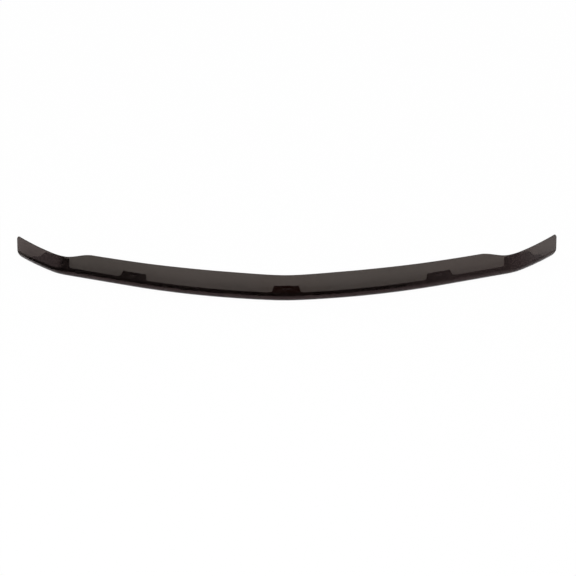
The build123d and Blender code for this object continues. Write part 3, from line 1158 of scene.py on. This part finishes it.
# degrees from the camera's side, to the right, and the studio's colour there
STUDIO = (
    (-180, "#CBCBCB"),
    (-125, "#CBCBCB"),
    (-100, "#F9F9F9"),
    (-90, "#CBCBCB"),
    (-63, "#C4C4C4"),
    (-54, "#595959"),
    (-46, "#454545"),
    (-38, "#696969"),
    (-27, "#7A7A7A"),
    (-17, "#616161"),
    (-12, "#502719"),
    (12, "#502719"),
    (17, "#616161"),
    (28, "#6C6C6C"),
    (38, "#7F7F7F"),
    (50, "#C0C0C0"),
    (78, "#DDDDDD"),
    (88, "#F2FFFF"),
    (104, "#F2FFFF"),
    (125, "#CBCBCB"),
    (180, "#CBCBCB"),
)
studio = add_node(tree, "ShaderNodeValToRGB", {"Fac": round_room})
stops = studio.color_ramp.elements
stops.remove(stops[1])
for number, (degrees, hex_code) in enumerate(STUDIO):
    stop = stops[0] if number == 0 else stops.new(degrees / 360 + 0.5)
    stop.position = degrees / 360 + 0.5
    stop.color = colour(hex_code)
print("studio stops", len(stops))

# %% [markdown]
# The panels stand above the table, and their lower edge rises towards the
# front, except on the far right. That is why the front stays near black while
# the wings, which turn sideways, pick up a soft grey. For the light on the
# table, the dome is softer at the back.

# %% The room's light
PANEL_RISE = 0.33
PANEL_EDGE_LOW = 0.06
PANEL_EDGE_HIGH = 0.1
UNDER_PANEL = 0.12
FAR_RIGHT = math.radians(33)
SOFT_BACK = 0.6

panel_edge = add_node(
    tree, "ShaderNodeMath", {0: back, 1: PANEL_RISE, 2: up}, operation="MULTIPLY_ADD"
).outputs[0]
above_edge = add_node(
    tree,
    "ShaderNodeMapRange",
    {
        "Value": panel_edge,
        "From Min": PANEL_EDGE_LOW,
        "From Max": PANEL_EDGE_HIGH,
        "To Min": UNDER_PANEL,
    },
    interpolation_type="SMOOTHSTEP",
).outputs[0]
far_right = add_node(
    tree, "ShaderNodeMath", {0: compass, 1: FAR_RIGHT}, operation="GREATER_THAN"
).outputs[0]
panel = add_node(
    tree, "ShaderNodeMath", {0: above_edge, 1: far_right}, operation="MAXIMUM"
).outputs[0]
seen = add_node(
    tree, "ShaderNodeVectorMath", {0: studio.outputs[0], "Scale": panel}, operation="SCALE"
).outputs[0]

soft_back = add_node(
    tree,
    "ShaderNodeMapRange",
    {"Value": front, "From Min": -0.3, "From Max": 0.3, "To Min": SOFT_BACK},
    interpolation_type="SMOOTHSTEP",
).outputs[0]
lights_table = add_node(tree, "ShaderNodeLightPath").outputs["Is Diffuse Ray"]
dome = add_node(tree, "ShaderNodeMix", {0: lights_table, 2: 1.0, 3: soft_back}).outputs[0]
mirrored = reflection_share(tree)
level = add_node(tree, "ShaderNodeMix", {0: mirrored, 2: dome, 3: 1.0}).outputs[0]
shade = add_node(
    tree, "ShaderNodeMix", {0: mirrored, 6: colour("#FFFFFF"), 7: seen}, data_type="RGBA"
).outputs[2]
glow = add_node(tree, "ShaderNodeBackground", {"Color": shade, "Strength": level}).outputs[0]
add_node(tree, "ShaderNodeOutputWorld", {"Surface": glow})
print("room nodes", len(tree.nodes))

# %% [markdown]
# One softbox stands in front, a little to the left and well above the table. It
# throws the soft shadow behind the blade that shows through it as a slow fall
# in brightness from the top edge down. Reflections leave it out, because the
# room's own panels are what they show.

# %% Softbox
BOX_WAY = math.radians(-12)
BOX_UP = math.radians(43)
BOX_AWAY = 2.5
BOX_SIZE = 0.8
BOX_WATTS = 11.0

box_light = bpy.data.lights.new("softbox", "AREA")
box_light.shape = "SQUARE"
box_light.size = BOX_SIZE
box_light.energy = BOX_WATTS
softbox = bpy.data.objects.new("softbox", box_light)
bpy.context.collection.objects.link(softbox)
softbox.visible_glossy = False
box_flat = BOX_AWAY * math.cos(BOX_UP)
box_place = Vector(
    (box_flat * math.sin(BOX_WAY), -box_flat * math.cos(BOX_WAY), BOX_AWAY * math.sin(BOX_UP))
)
softbox.location = box_place
softbox.rotation_euler = box_place.to_track_quat("Z", "Y").to_euler()
bpy.context.scene.view_settings.view_transform = "Standard"
print("softbox at", [round(v, 2) for v in box_place])

# %% [markdown]
# The camera stands 3.3 m from the middle of the bend, 30 degrees up, and looks
# a hair from the right. Its lens and its small shift put the shield on the same
# place in the frame as in the photograph. These values came from fitting the
# part's outline to the photograph's.

# %% Camera
TILT = math.radians(30.0)
DISTANCE = 3.3
YAW = math.radians(0.423)
ROLL = math.radians(-0.396)
FOCAL_PX = 1341.0
MIDDLE_PX = (286.205, 299.622)
FRAME_PX = 576
SENSOR_MM = 36.0
SIGHT_END = 50.0

target = Vector((0.0, CENTRE_Y * MM, 0.0))
yawed = Matrix.Rotation(YAW, 4, "Z")
away = yawed @ Vector((0.0, -math.cos(TILT), math.sin(TILT)))
look = Matrix.Rotation(math.pi / 2 - TILT, 4, "X")
camera_data = bpy.data.cameras.new("camera")
camera_data.sensor_width = SENSOR_MM
camera_data.lens = FOCAL_PX / FRAME_PX * SENSOR_MM
camera_data.shift_x = (FRAME_PX / 2 - MIDDLE_PX[0]) / FRAME_PX
camera_data.shift_y = (MIDDLE_PX[1] - FRAME_PX / 2) / FRAME_PX
camera_data.clip_end = SIGHT_END
camera = bpy.data.objects.new("camera", camera_data)
camera_place = Matrix.Translation(target + away * DISTANCE)
camera.matrix_world = camera_place @ yawed @ look @ Matrix.Rotation(ROLL, 4, "Z")
bpy.context.collection.objects.link(camera)
bpy.context.scene.camera = camera
print("camera at", [round(v, 3) for v in camera.matrix_world.translation])
